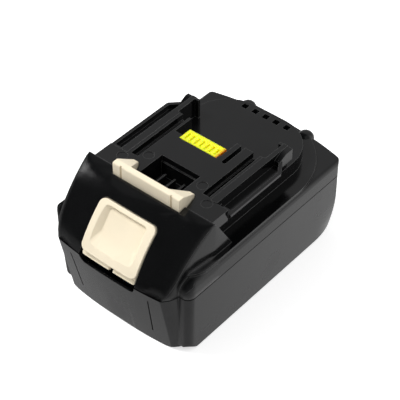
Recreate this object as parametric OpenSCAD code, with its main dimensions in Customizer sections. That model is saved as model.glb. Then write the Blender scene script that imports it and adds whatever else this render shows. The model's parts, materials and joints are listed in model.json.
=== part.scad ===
// Slide-on battery pack for cordless tools: a two-part case around ten round cells,
// with rail grooves, terminal slots and a spring-loaded release latch.
// X is the width, Y runs from the button end (-Y) to the rear (+Y), Z is up.
// The origin is at the middle of the bottom face.

/* [Cells] */
// Diameter of one cell
cell_d = 18; // [17:0.5:20]
// Length of one cell
cell_l = 65; // [60:1:70]
// Gap around a cell in its holder
cell_clear = 0.1; // [0.05:0.05:0.3]
// Web of the holder between two cells
cell_web = 0.5; // [0.4:0.1:1.2]
// Outer wall of the holder
holder_wall = 0.6; // [0.6:0.1:1.2]
// Depth of each holder along the cells
holder_depth = 12; // [8:1:14]
// Thickness of the link strips
link_t = 0.2; // [0.15:0.05:0.4]
// Width of the link strips
link_w = 7; // [5:0.5:9]
// Thickness of the insulating sheets
sheet_t = 0.3; // [0.2:0.05:0.6]
// Thickness of the foam pads under the cells
pad_t = 0.5; // [0.5:0.1:1.5]
// Distance from the block's ends to the foam pads
pad_inset = 4; // [2:0.5:8]
// Distance from the holders' sides to the foam pads
pad_margin = 1; // [0.5:0.1:2]
// Distance from the block's edges to the insulating sheets
sheet_inset = 2; // [1:0.1:3]
// Part of each cell end that its holder leaves free
holder_setback = 1; // [0.8:0.1:1.4]

/* [Case] */
// Wall of both cases
case_wall = 2.4; // [2:0.1:2.8]
// Floor of the lower case
floor_t = 2.4; // [1.8:0.1:3.2]
// Thickness of the shelf, the deck and the top plate
roof_t = 2; // [1.6:0.1:2.4]
// Height of the parting line
parting_z = 34.5; // [32:0.5:36]
// Visible gap at the parting line
seam = 0.25; // [0.15:0.05:0.4]
// Inward draft of each side wall, from the parting line to the floor
side_draft = 1.75; // [1:0.05:2.4]
// Lean of the front face under the parting line, in degrees
front_lean = 11.2; // [8:0.2:13]
// Air between the insulating sheets and the side walls
side_air = 1.4; // [0.6:0.1:2]
// Air between the cell holders and the shelf
roof_air = 0.8; // [0.6:0.1:1.4]
// Corner radius of the body at the rear
rear_corner_r = 4; // [3:0.5:6]
// Radius of the rear wall's shallow crown
rear_crown_r = 150; // [130:10:400]
// Corner radius of the body beside the nose
fender_corner_r = 4; // [3:0.5:4.5]
// Radius of the lower rear edge
rear_edge_r = 9; // [6:0.5:10]
// Radius of the other lower edges
lower_edge_r = 1.5; // [1:0.1:1.8]
// Radius of the shoulders above the parting line
shoulder_r = 2; // [1:0.25:3]
// Radius of the shoulders' front ends
fender_nose_r = 6.5; // [5:0.5:7]
// Radius that takes off the two lower front corners
corner_edge_r = 7; // [5:0.5:8]
// Distance from the middle to the upright lines in the lower front
panel_x = 22.3; // [20:0.1:24]
// Height of these lines' lower ends
panel_z = 7; // [5:0.5:9]
// Length of these lines
panel_l = 23; // [18:0.5:24]
// Width of these lines
panel_w = 0.7; // [0.4:0.1:1]
// Gap left between neighbouring parts
part_gap = 0.3; // [0.2:0.05:0.4]

/* [Nose] */
// Width of the nose at its tip
tip_w = 64; // [60:1:66]
// Width of the hump at the ridge
nose_w = 70; // [67:1:71]
// Corner radius of the nose
nose_corner_r = 10; // [8:0.5:12]
// Setback of the shoulders beside the nose
fender_setback = 9; // [8:0.2:10]
// Radius of the nose's shallow crown
nose_crown_r = 220; // [160:10:400]
// How far the front slope leans back
slope_run = 20.3; // [18.5:0.1:21.5]
// How far the front slope bulges
slope_bulge = 2; // [1:0.1:3]
// Radius of the edges at both ends of the slope
slope_edge_r = 4; // [2:0.25:5]
// Drop from the top plate to the crest of the slope
crest_drop = 1; // [0.5:0.1:2]
// Rise of the ridge behind the crest over the top plate
ridge_rise = 1.2; // [0.6:0.1:2]
// Length of the ridge from crest to plate
ridge_l = 9.3; // [8.5:0.1:11]
// Length of the hump's slanted rear ends
hump_tail = 11; // [10:0.25:12]

/* [Top] */
// Height of the rear deck over the shelf
deck_rise = 6.9; // [6:0.1:7.5]
// Height of the top plate over the shelf
plate_rise = 16.9; // [16:0.1:18]
// Width of the neck between the rail grooves
neck_w = 57; // [55:0.5:60]
// Corner radius of the deck
deck_corner_r = 20; // [14:1:24]
// Room behind the deck, to the rear wall
deck_setback = 7.4; // [6.6:0.2:9]
// Step from the body's edge in to the shelf
shelf_inset = 1; // [0.6:0.1:1.6]
// Step from the shelf down to the shoulders
shelf_step = 1.2; // [0.8:0.1:1.5]
// Rear end of the top plate
plate_back = 15.3; // [14:0.1:16.6]
// Width of the hook pocket
pocket_w = 21.4; // [18:0.2:23]
// Length of the hook pocket
pocket_l = 15.1; // [12:0.1:16]
// Land between the ridge and the hook pocket
pocket_land = 4.3; // [3.5:0.1:4.8]
// Drop from the top plate to the ribs in the hook pocket
rib_drop = 5.2; // [4.5:0.1:6.5]
// Distance between these ribs
rib_pitch = 5.3; // [4.5:0.1:6]
// Length of these ribs
rib_l = 11.2; // [8:0.1:11.4]
// Thickness of these ribs
rib_t = 0.8; // [0.6:0.1:1.2]
// Diameter of the shallow round marks beside the hook
mark_d = 5; // [4:0.1:5.2]
// Width of the vent holes
vent_w = 3; // [2.4:0.1:3.8]
// Distance between vent holes
vent_pitch = 5.95; // [5.4:0.05:6.4]
// Distance from the vent holes to the rear edge of the deck
vent_setback = 3.6; // [3.2:0.1:5]

/* [Rails] */
// Distance from the middle to the flange's inner edge
lip_x = 26.8; // [26:0.1:27.2]
// Distance from the middle to the flange's outer edge
flange_x = 34.2; // [33:0.1:35]
// Width of the flange's rim
rim_w = 1.6; // [1.2:0.1:2.4]
// Drop from the top plate to the rim
rim_drop = 2.2; // [1.5:0.1:2.8]
// Height of the rim's upright edge
rim_edge_h = 1.2; // [0.8:0.1:1.6]
// Height of the rail groove under the flange
groove_h = 10.9; // [10:0.1:11.4]
// Thickness of the flange under its channel
flange_t = 1.2; // [1:0.1:1.8]
// Rear end of the rails
rail_back = 28; // [26:0.1:29]
// Rear end of the right flange
flange_back = 20.5; // [18:0.1:21.6]
// Rear end of the left flange
left_flange_back = 23.2; // [20:0.1:24]
// Width of the slanted corner at the rear of each flange
lead_in = 4.2; // [2:0.2:5]
// Length of the slanted corner on the right
lead_l = 6.5; // [5:0.25:8]
// Length of the slanted corner on the left
left_lead_l = 4.2; // [3:0.25:6]
// Land in front of the flange's channel
channel_land = 2.5; // [1:0.1:4]
// Bevel under the flange's rim
flange_bevel = 2.2; // [1.6:0.1:2.6]
// Step from the flange's inner edge out to the rear block
rail_step = 2.8; // [2:0.1:3.6]
// Wall of the rails behind the top plate
rail_wall = 2.2; // [1.8:0.1:2.6]
// Wall that closes the rails' rear ends
rail_end_t = 1.2; // [1:0.1:1.6]
// Length of the ramp up to the rear block
rail_ramp = 2.8; // [2:0.1:3.6]
// Rise of the strip along the plate's outer edge
strip_rise = 0.3; // [0.2:0.05:0.5]

/* [Terminals] */
// Distance from the middle to the terminal slots
slot_x = 18.1; // [17:0.1:19]
// Width of the terminal slots
slot_w = 3.8; // [3.2:0.1:4]
// Length of the terminal slots
slot_l = 33.9; // [30:0.1:36]
// Depth of the slots down to their ledges
slot_depth = 3.2; // [2:0.1:3.4]
// Width of the ledges in the slots and in the pocket
ledge_w = 0.7; // [0.4:0.1:0.8]
// Width of the signal connector
plug_w = 20.5; // [18:0.5:21]
// Depth of the signal connector
plug_d = 7; // [6:0.1:8]
// Offset of the signal connector to the left
plug_shift = 2.25; // [1.5:0.25:3]
// Clearance of the signal connector in the case
plug_clear = 0.3; // [0.2:0.05:0.5]
// Distance from the signal connector to the rear end of the top plate
plug_setback = 5.9; // [5:0.1:6.5]
// Distance between the connector's slits
plug_pitch = 2.75; // [2.4:0.05:2.8]
// Width of the connector's slits
slit_w = 0.9; // [0.75:0.05:1.2]
// Wall in front of the slits
slit_front = 1; // [0.8:0.1:1.4]
// Wall behind the slits
slit_back = 2.1; // [1.2:0.1:2.6]
// Height of the slits' floor over the deck
slit_floor = 2; // [1:0.1:3]
// Thickness of the signal contacts
contact_t = 0.3; // [0.2:0.05:0.4]
// Height of the signal contacts
contact_h = 5.6; // [4:0.1:6.5]
// Room right of the connector, behind its front
notch_w = 0.7; // [0.4:0.1:1]
// Length of the notches beside the connector
notch_l = 5; // [4:0.1:5.5]
// Distance from the connector to the key slot
key_gap = 4.5; // [4:0.1:5]
// Width of the key slot
key_w = 2.2; // [1.6:0.1:2.4]
// Length of the key slot
key_l = 14; // [10:0.25:14.5]
// Depth of the key slot
key_depth = 5; // [3:0.25:6]
// Length of the terminal clips
clip_l = 12; // [9:0.5:14]
// Sheet of the terminal clips
leaf_t = 0.7; // [0.5:0.05:0.8]

/* [Latch] */
// Travel of the release latch
latch_travel = 4; // [3:0.25:4]
// Width of the button
button_w = 30.6; // [27:0.2:32]
// Length of the button along the slope
button_l = 24.5; // [22:0.25:25]
// Height of the button over the slope
button_rise = 0.9; // [0.4:0.1:1.6]
// Corner radius of the button
button_r = 3; // [2:0.25:4]
// Depth of the finger recess
dish_depth = 3; // [2:0.1:3.4]
// Side clearance of the button and the hook in the case
latch_clear = 0.4; // [0.3:0.05:0.6]
// Height of the hook over the top plate
hook_h = 6.4; // [5.5:0.1:7.5]
// Width of the hook
hook_w = 37; // [35:0.5:39]
// Thickness of the hook's cross bar
hook_t = 2.8; // [2.2:0.1:3.2]
// Length of the hook's side wedges
wedge_l = 8.7; // [7:0.1:9.5]
// Distance from the ridge forward to the hook
hook_setback = 3; // [2.6:0.1:3.4]
// Outer diameter of the return springs
spring_d = 5.2; // [4.4:0.1:5.4]
// Wire of the return springs
wire_d = 0.7; // [0.5:0.05:0.8]
// Distance from the middle to the return springs
spring_x = 7; // [6:0.25:8]
// Depth of the spring seats under the parting line
seat_drop = 3; // [2:0.25:4]
// Height of the spring cups over the parting line
cup_rise = 6; // [5.75:0.25:6.5]
// Depth of the spring cups
cup_depth = 4; // [3:0.25:4.5]

/* [Screws] */
// Thread diameter of the case screws
screw_d = 2.6; // [2.4:0.1:3]
// Head diameter of the case screws
screw_head_d = 4.6; // [4.2:0.1:4.8]
// Height of the case screws' heads
screw_head_h = 2; // [1.6:0.1:2.6]
// Width of the six-sided drives in the heads
drive_w = 2; // [1.6:0.1:2.4]
// Depth of the drives
drive_depth = 1.2; // [0.8:0.1:1.4]
// Depth of the screw seats under the parting line
screw_sink = 8; // [6:0.5:10]
// Material left over the screws' ends
screw_cover = 1.5; // [1:0.1:2]
// Wells that the screw heads sink into
well_d = 5; // [4.8:0.1:5.4]
// Wall around the screw wells
well_wall = 0.9; // [0.8:0.1:1.2]
// Distance from the middle to the rear screws
rear_screw_x = 16.7; // [15:0.1:17.5]
// Distance from the middle to the front screws
front_screw_x = 24; // [23:0.5:25]
// Radius of the columns around the rear screws
bump_r = 4; // [3.6:0.1:4.5]
// Room between the cells and the rear screw columns
rear_space = 3.7; // [3:0.1:5]

/* [Board] */
// Thickness of the control board
board_t = 1.6; // [1:0.1:2]
// Width of the control board
board_w = 50; // [46:0.5:51]
// Least clearance of the control board in the neck
board_clear = 1; // [0.5:0.1:1.1]
// Length of the control board
board_l = 80; // [78:1:82]
// Height of the board over the holders
board_lift = 1.6; // [1.2:0.1:2]
// Shank of the board screws
board_screw_d = 1.6; // [1.4:0.1:1.8]
// Head diameter of the board screws
board_head_d = 3.4; // [3:0.1:3.8]
// Head height of the board screws
board_head_h = 1.2; // [0.8:0.1:1.6]
// Grip of the board screws under the board
board_grip = 2; // [1.7:0.1:2.2]
// Distance from the board's side edge to its screws
board_screw_inset = 3; // [2.6:0.1:3.6]
// Distance from the board's middle forward to the chip's front side
chip_setback = 14; // [10:0.5:15]
// Side of the controller chip
chip_w = 8; // [6:0.5:9]
// Height of the controller chip
chip_h = 1.4; // [0.8:0.1:1.6]
// Distance from the middle to the fuse
fuse_x = 7; // [5.5:0.5:8]
// Distance from the board's middle forward to the fuse's front end
fuse_setback = 16; // [12:0.5:17]
// Length of the fuse
fuse_l = 8; // [6:0.5:9]
// Width of the fuse
fuse_w = 4; // [3:0.5:5]
// Height of the fuse
fuse_h = 2; // [1.4:0.1:2.2]

/* [Hidden] */
$fn = 48;
eps = 0.01;
columns = 5;
layers = 2;

// Cell block
cell_pitch = cell_d + 2 * cell_clear + cell_web;
holder_over = cell_clear + holder_wall;
block_l = (columns - 1) * cell_pitch + cell_d;
cell_z = floor_t + pad_t + holder_over + cell_d / 2;
holder_bottom = floor_t + pad_t;
holder_top = cell_z + (layers - 1) * cell_pitch + cell_d / 2 + holder_over;

// Screw columns at both ends of the cell block
well_r = well_d / 2;
column_r = well_r + well_wall;
front_land = lower_edge_r + part_gap;
lean_run = parting_z * tan(front_lean);
front_room = holder_over + part_gap + column_r + well_r + front_land + lean_run;
rear_room = part_gap + rear_space + column_r + bump_r;
window_half = button_w / 2 + latch_clear;
nose_sag = nose_crown_r - sqrt(nose_crown_r * nose_crown_r - window_half * window_half);
block_y = (front_room - nose_sag - rear_room) / 2;
block_front = block_y - block_l / 2;
block_back = block_y + block_l / 2;
front_screw_y = block_front - holder_over - part_gap - column_r;
rear_screw_y = block_back + part_gap + rear_space + column_r;
bump_proud = 1.4;

// Case outline
half_w = cell_l / 2 + link_t + sheet_t + side_air + case_wall + side_draft;
nose_y = block_front - front_room;
back_y = rear_screw_y + bump_r - bump_proud;
fender_y = nose_y + fender_setback;
fender_lean = 1.2;
nose_half = nose_w / 2;
shelf_z = holder_top + roof_air + roof_t;
deck_z = shelf_z + deck_rise;
plate_z = shelf_z + plate_rise;
base_z = shelf_z - shelf_step;

// Front slope: an arc through the nose and the crest, turned about an axis along X
crest_y = nose_y + slope_run;
crest_z = plate_z - crest_drop;
slope_dz = crest_z - parting_z;
slope_chord = norm([slope_run, slope_dz]);
slope_r = slope_chord * slope_chord / (8 * slope_bulge) + slope_bulge / 2;
slope_cy = (nose_y + crest_y) / 2 + (slope_r - slope_bulge) * slope_dz / slope_chord;
slope_cz = (parting_z + crest_z) / 2 - (slope_r - slope_bulge) * slope_run / slope_chord;
crest_angle = atan2(crest_z - slope_cz, slope_cy - crest_y);
button_top_s = 4.5;
button_angle = crest_angle - (button_top_s + button_l / 2) / slope_r * 180 / PI;
ridge_y = crest_y + ridge_l;
ridge_z = plate_z + ridge_rise;
slope_wall = case_wall;

// Neck, deck and rails
neck_half = max(neck_w, board_w + 2 * (board_clear + case_wall)) / 2;
deck_back = back_y - deck_setback;
groove_top = shelf_z + groove_h;
stop_y = ridge_y + hump_tail;
rim_z = plate_z - rim_drop;
flange_floor_z = groove_top + flange_t;
facet_x = flange_x - 1.5;
rail_in = slot_x + slot_w + ledge_w;
rail_out = lip_x + rail_step;
pocket_y = ridge_y + pocket_land;
pocket_floor = deck_z - 1;
pocket_wall = 1.6;
rib_top = plate_z - rib_drop;
slot_wall = 1.2;
collar_z = plate_z - slot_depth - slot_wall;
slot_front = plate_back - slot_l;
plug_back = plate_back - plug_setback;
plug_x = -plug_shift;
vent_y = deck_back - vent_setback;

// Latch
hook_front = ridge_y - hook_setback;
hook_back = hook_front + hook_t;
wedge_tip_y = hook_back + wedge_l;
hook_top = plate_z + hook_h;
wedge_root = 8;
wedge_tip = 2.3;
wedge_tip_x = hook_w / 2 - 2.9;
web_t = 3;
web_z = deck_z - 2.2;
guide_half = button_w / 2 + 2.7;
guide_t = 1.8;
guide_r = slope_r - slope_wall - latch_clear;
lip_l = 2.2;
lip_drop = 1;
lip_t = 2;
window_drop = latch_travel + 1.8;
window_depth = 9;
stop_w = 2.6;
stop_t = 2.4;
spring_cup_r = spring_d / 2 + 1;
spring_y = block_front - part_gap - spring_cup_r;
cup_bottom = parting_z + cup_rise;
spring_top = cup_bottom + cup_depth;
post_z = parting_z - seat_drop;
post_r = 3;
spring_turns = 7;

// Board
board_z = holder_top + board_lift;
board_top = board_z + board_t;
board_y = block_y;
board_screw_x = board_w / 2 - board_screw_inset;
board_screw_y = 1.135 * cell_pitch;
board_rear_r = deck_corner_r - case_wall - 1;

// Colours
case_black = [0.09, 0.09, 0.1];
lower_grey = [0.13, 0.13, 0.14];
ivory = [0.95, 0.89, 0.76];
bright_yellow = [0.95, 0.9, 0.1];
steel = [0.72, 0.73, 0.75];
nickel = [0.78, 0.76, 0.7];
board_green = [0.1, 0.35, 0.2];
cell_blue = [0.25, 0.5, 0.62];
holder_grey = [0.32, 0.33, 0.35];
paper = [0.85, 0.8, 0.65];

// Cell positions: odd cells in the lower layer, even ones in the upper
function cell_place(i) = [0, block_y + (floor(i / layers) - (columns - 1) / 2) * cell_pitch,
                          cell_z + (i % layers) * cell_pitch];
function column_y(c) = block_y + (c - (columns - 1) / 2) * cell_pitch;

// Corner points of an outline, each [x, y, radius], turned into a rounded outline
function corner_arc(a, b, c, steps = 8) =
    let (u = [a[0] - b[0], a[1] - b[1]], v = [c[0] - b[0], c[1] - b[1]],
         un = u / norm(u), vn = v / norm(v), r = b[2],
         half = acos(max(-1, min(1, un * vn))) / 2,
         middle = (un + vn) / norm(un + vn),
         centre = [b[0], b[1]] + middle * r / sin(half),
         from = [b[0], b[1]] + un * r / tan(half) - centre,
         to = [b[0], b[1]] + vn * r / tan(half) - centre,
         start = atan2(from[1], from[0]),
         turn0 = atan2(to[1], to[0]) - start,
         turn = turn0 > 180 ? turn0 - 360 : turn0 < -180 ? turn0 + 360 : turn0)
    [for (k = [0:steps]) centre + r * [cos(start + turn * k / steps), sin(start + turn * k / steps)]];
function rounded(corners) =
    let (n = len(corners))
    [for (k = [0:n - 1])
        each corners[k][2] > 0
            ? corner_arc(corners[(k + n - 1) % n], corners[k], corners[(k + 1) % n])
            : [[corners[k][0], corners[k][1]]]];

// A profile in (Y, Z) drawn along X, and one in (X, Z) drawn along Y
module along_x(width) {
    rotate([90, 0, 90]) linear_extrude(width, center = true) children();
}
module along_y(length) {
    rotate([90, 0, 0]) linear_extrude(length, center = true) children();
}
module both_sides() {
    children();
    mirror([1, 0, 0]) children();
}

// Outline of the body, with small front corners and round rear ones
module body_plan(inset = 0) {
    h = half_w - inset;
    y0 = fender_y + inset;
    y1 = back_y - inset;
    sag = rear_crown_r - sqrt(rear_crown_r * rear_crown_r - h * h);
    front_r = max(0.5, fender_corner_r - inset);
    intersection() {
        polygon(rounded([
            [-h, y0, front_r], [h, y0, front_r],
            [h, y1 - sag, rear_corner_r - inset], [0, y1 + sag, 0], [-h, y1 - sag, rear_corner_r - inset]]));
        translate([0, y1 - rear_crown_r]) circle(rear_crown_r, $fn = 180);
    }
}

// Outline of the nose: a crowned front, round corners and sides that widen to the ridge
module nose_plan(inset = 0) {
    tip = tip_w / 2 - inset;
    h = nose_half - inset;
    r = nose_corner_r - inset;
    intersection() {
        translate([0, nose_y + nose_crown_r]) circle(nose_crown_r - inset, $fn = 200);
        polygon(rounded([
            [-tip, nose_y + inset, r], [tip, nose_y + inset, r],
            [h, ridge_y, 0], [h, stop_y, 0], [-h, stop_y, 0], [-h, ridge_y, 0]]));
    }
}

// Outline of the rear deck and its neck
module deck_plan(inset = 0) {
    h = neck_half - inset;
    y1 = deck_back - inset;
    r = deck_corner_r - inset;
    polygon(rounded([[-h, ridge_y - 2, 0], [h, ridge_y - 2, 0], [h, y1, r], [-h, y1, r]]));
}

// Outline of the shelf: straight sides and a half-round rear
module shelf_plan() {
    r = half_w - shelf_inset;
    centre_y = back_y - r + 2.6;
    front_r = 12;
    intersection() {
        union() {
            translate([0, centre_y]) circle(r, $fn = 96);
            polygon(rounded([
                [-r, fender_y + 2, front_r], [r, fender_y + 2, front_r],
                [r, centre_y, 0], [-r, centre_y, 0]]));
        }
        body_plan(shelf_inset);
    }
}

// Side view of the lower case, leaning in at the front
module lower_side(inset = 0, floor_z = 0) {
    r = rear_edge_r - inset;
    front = fender_y + inset;
    front_edge_r = max(1, 5 - inset);
    polygon(rounded([
        [front + fender_lean, floor_z, front_edge_r], [back_y - inset, floor_z, r],
        [back_y - inset, parting_z + eps, 0], [front, parting_z + eps, 0]]));
}

// Front view of the lower case, with drafted sides
module lower_front(inset = 0, floor_z = 0) {
    top = half_w - inset;
    low = half_w - side_draft - inset;
    polygon(rounded([
        [-low, floor_z, lower_edge_r], [low, floor_z, lower_edge_r],
        [top, parting_z + eps, 0], [-top, parting_z + eps, 0]]));
}

// Leaning nose of the lower case
module lower_nose(inset = 0, floor_z = 0) {
    intersection() {
        translate([0, nose_y, parting_z]) rotate([front_lean, 0, 0])
            translate([0, -nose_y, -2 * parting_z]) linear_extrude(3 * parting_z) nose_plan(inset);
        translate([0, 0, floor_z]) linear_extrude(parting_z - floor_z) nose_plan(inset);
        along_x(pack_span) polygon(rounded([
            [nose_y + lean_run + inset, floor_z, lower_edge_r],
            [stop_y, floor_z, 0], [stop_y, parting_z, 0], [nose_y + inset, parting_z, 0],
            [nose_y + inset, parting_z - eps, 0]]));
    }
}
pack_span = 3 * half_w;

// Right front corner of the body, leaning in towards the floor on both faces
module front_corner(inset) {
    r = max(0.5, fender_corner_r - inset);
    translate([half_w - inset, fender_y + inset, parting_z])
        rotate([atan(fender_lean / parting_z), atan(side_draft / parting_z), 0])
            translate([0, 0, -2 * parting_z]) linear_extrude(3 * parting_z) polygon(rounded([
                [0, 0, r], [0, 3 * half_w, 0], [-3 * half_w, 3 * half_w, 0], [-3 * half_w, 0, 0]]));
}

// Right front corner seen across the corner, with its lower end rounded off
module corner_edge() {
    reach = (half_w - fender_y) / sqrt(2) - fender_corner_r * (sqrt(2) - 1) + part_gap;
    low = reach - (side_draft + fender_lean) / sqrt(2);
    rotate([0, 0, -45]) along_y(2 * pack_span) polygon(rounded([
        [-2 * pack_span, 0, 0], [low, 0, corner_edge_r], [reach, parting_z + eps, 0],
        [reach, 2 * parting_z, 0], [-2 * pack_span, 2 * parting_z, 0]]));
}

module lower_form(inset = 0, floor_z = 0) {
    intersection() {
        translate([0, 0, floor_z]) linear_extrude(parting_z - floor_z) body_plan(inset);
        front_corner(inset);
        mirror([1, 0, 0]) front_corner(inset);
        along_x(pack_span) lower_side(inset, floor_z);
        along_y(pack_span * 2) lower_front(inset, floor_z);
    }
    lower_nose(inset, floor_z);
}

// Places of the screws, the front pair wider apart than the rear pair
module at_screws() {
    both_sides() {
        translate([front_screw_x, front_screw_y, 0]) children();
        translate([rear_screw_x, rear_screw_y, 0]) children();
    }
}

screw_seat_z = parting_z - screw_sink;
thread_clear = 0.3;
tongue_inset = 1.3;
tongue_h = 1;

// Outline of both cases at the parting line
module case_plan(inset = 0) {
    body_plan(inset);
    nose_plan(inset);
}
// Tongue of the lower case, and with more height and less inset the rebate it enters
module seam_ring(inset, h) {
    translate([0, 0, parting_z - 1]) linear_extrude(h + 1) case_plan(inset);
}

module lower_case() color(lower_grey) {
    difference() {
        union() {
            difference() {
                union() {
                    intersection() {
                        lower_form();
                        corner_edge();
                        mirror([1, 0, 0]) corner_edge();
                    }
                    seam_ring(tongue_inset, tongue_h);
                }
                lower_form(case_wall, floor_t);
                translate([0, 0, parting_z - 1]) linear_extrude(tongue_h + 2) case_plan(case_wall);
            }
            intersection() {
                lower_form();
                union() {
                    at_screws() cylinder(r = column_r, h = parting_z);
                    both_sides() translate([spring_x, spring_y, 0]) cylinder(r = post_r, h = post_z);
                }
            }
            both_sides() intersection() {
                translate([rear_screw_x, rear_screw_y, 0]) cylinder(r = bump_r, h = parting_z);
                along_x(pack_span) lower_side(-bump_proud - 1);
            }
            both_sides() translate([spring_x, spring_y, post_z - 1])
                cylinder(r = spring_d / 2 - wire_d - part_gap, h = 5);
        }
        both_sides() translate([rear_screw_x, rear_screw_y, parting_z])
            cylinder(r = bump_r + part_gap, h = 2 * tongue_h);
        at_screws() {
            translate([0, 0, -1]) cylinder(d = well_d, h = screw_seat_z + 1);
            cylinder(d = screw_d + thread_clear, h = parting_z + 1);
        }
        button_window();
        both_sides() panel_line();
    }
}

// Shallow upright line in the front face, beside the button
module panel_line() {
    depth = 0.6;
    sag = nose_crown_r - sqrt(nose_crown_r * nose_crown_r - panel_x * panel_x);
    tilt = 4;
    translate([panel_x, nose_y, parting_z]) rotate([front_lean, tilt, 0])
        translate([-panel_w / 2, -depth, panel_z - parting_z])
            cube([panel_w, sag + 2 * depth, panel_l]);
}

// The slope's own place: local X across, Y up the slope, Z out of it, at the button's middle
module on_slope() {
    translate([0, slope_cy, slope_cz]) rotate([90 - button_angle, 0, 0])
        translate([0, 0, slope_r]) children();
}

// Rounded block on the slope, from below to above
module slope_block(w, low, high, from, to, r) {
    on_slope() translate([0, 0, from]) linear_extrude(to - from)
        polygon(rounded([[-w / 2, low, r], [w / 2, low, r], [w / 2, high, r], [-w / 2, high, r]]));
}

// Window that the button slides in
module button_window() {
    slope_block(2 * window_half, -button_l / 2 - window_drop, button_l / 2 + latch_clear,
                -window_depth, window_depth, button_r);
}

// Body of the slope, turned about the slope's axis
module slope_form(inset = 0) {
    h = nose_half - inset;
    r = slope_r - inset;
    edge_r = max(1, slope_edge_r - inset);
    translate([0, slope_cy, slope_cz]) rotate([0, 90, 0]) rotate_extrude($fn = 180) intersection() {
        translate([r - nose_crown_r + inset, 0]) circle(nose_crown_r - inset, $fn = 200);
        polygon(rounded([[0, -h, 0], [r, -h, edge_r], [r, h, edge_r], [0, h, 0]]));
    }
}

// Hump over the nose, with its ridge and slanted rear ends
module hump(inset = 0) {
    intersection() {
        slope_form(inset);
        translate([0, 0, parting_z + seam]) linear_extrude(ridge_z) nose_plan(inset);
        along_x(pack_span) polygon([
            [nose_y - 1, parting_z], [stop_y - inset, parting_z], [stop_y - inset, shelf_z],
            [ridge_y + 1 - inset, plate_z - inset], [ridge_y - inset, ridge_z - inset],
            [crest_y, crest_z - inset], [nose_y - 1, crest_z - inset - 2]]);
    }
}

// Shoulder part of the upper case, above the parting line
module fender(inset = 0) {
    top = base_z - inset;
    h = half_w - inset;
    intersection() {
        translate([0, 0, parting_z + seam - (inset > 0 ? 1 : 0)]) linear_extrude(shelf_z) body_plan(inset);
        along_y(pack_span * 2) polygon(rounded([
            [-h, 0, 0], [h, 0, 0], [h, top, shoulder_r], [-h, top, shoulder_r]]));
        along_x(pack_span) polygon(rounded([
            [fender_y + inset, 0, 0], [back_y - inset, 0, 0],
            [back_y - inset, top, shoulder_r], [fender_y + inset, top, fender_nose_r - inset]]));
    }
}

// Cross-section of a rail flange, right side
module flange_section() {
    polygon([
        [neck_half - 2, groove_top], [flange_x - flange_bevel, groove_top], [flange_x, rim_z - rim_edge_h],
        [flange_x, rim_z], [lip_x, rim_z], [lip_x, plate_z], [neck_half - 4, plate_z]]);
}

// Outline of the flange with its slanted rear corner, and with an inset the one of its channel
module flange_plan(back, lead, inset, inner_x, front, front_r) {
    turn = atan2(lead_in, lead);
    x = flange_x - inset;
    y = back - inset;
    polygon(rounded([
        [inner_x, front, front_r], [x, front, front_r], [x, back - lead - inset * tan(turn / 2), 2],
        [flange_x - lead_in - inset * tan(45 - turn / 2), y, 0.8], [inner_x, y, 0]]));
}

// Rail on one side: flange with its channel, front block, raised strip, and behind the plate
// a wall with a closed end and a rear block that starts with a ramp
module rail(back, lead) {
    wall_x = lip_x - rail_wall;
    tall = plate_z - deck_z + 1;
    difference() {
        intersection() {
            along_y(pack_span * 2) flange_section();
            translate([0, 0, groove_top]) linear_extrude(plate_z) flange_plan(back, lead, 0, 0, stop_y, 0);
        }
        translate([0, 0, flange_floor_z]) linear_extrude(plate_z)
            flange_plan(back, lead, rim_w, lip_x, stop_y + channel_land, 1);
    }
    translate([lip_x - 4, ridge_y - 2, groove_top])
        cube([facet_x - lip_x + 4, stop_y - ridge_y + 2, plate_z - groove_top]);
    translate([rail_in + ledge_w, stop_y, plate_z - 1])
        cube([lip_x - rail_in - ledge_w, plate_back - stop_y, 1 + strip_rise]);
    translate([wall_x, plate_back - rail_wall, deck_z - 1])
        cube([rail_wall, rail_back - plate_back + rail_wall, tall + strip_rise]);
    translate([rail_in, rail_back - rail_end_t, deck_z - 1])
        cube([lip_x - rail_in, rail_end_t, tall]);
    translate([(wall_x + rail_out) / 2, 0, 0]) along_x(rail_out - wall_x) polygon([
        [back - rim_w, groove_top], [back - rim_w, rim_z], [back + rail_ramp, plate_z],
        [rail_back, plate_z], [rail_back, groove_top]]);
}

module upper_outer() {
    fender();
    translate([0, 0, base_z - 3]) linear_extrude(shelf_z - base_z + 3) shelf_plan();
    hump();
    translate([0, 0, shelf_z - roof_t]) linear_extrude(deck_rise + roof_t) deck_plan();
    translate([-lip_x, ridge_y - 2, deck_z - 1])
        cube([2 * lip_x, plate_back - ridge_y + 2, plate_z - deck_z + 1]);
    rail(flange_back, lead_l);
    mirror([1, 0, 0]) rail(left_flange_back, left_lead_l);
    both_sides() translate([rear_screw_x, rear_screw_y, parting_z + seam]) screw_bump();
}

// Domed top over a rear screw
bump_rise = 1.7;
module screw_bump() {
    h = shelf_z + bump_rise - parting_z - seam;
    dome = bump_r - 0.5;
    rotate_extrude() intersection() {
        square([bump_r, h]);
        union() {
            square([bump_r, h - dome]);
            square([bump_r - dome, h]);
            translate([bump_r - dome, h - dome]) circle(dome);
        }
    }
}

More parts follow.
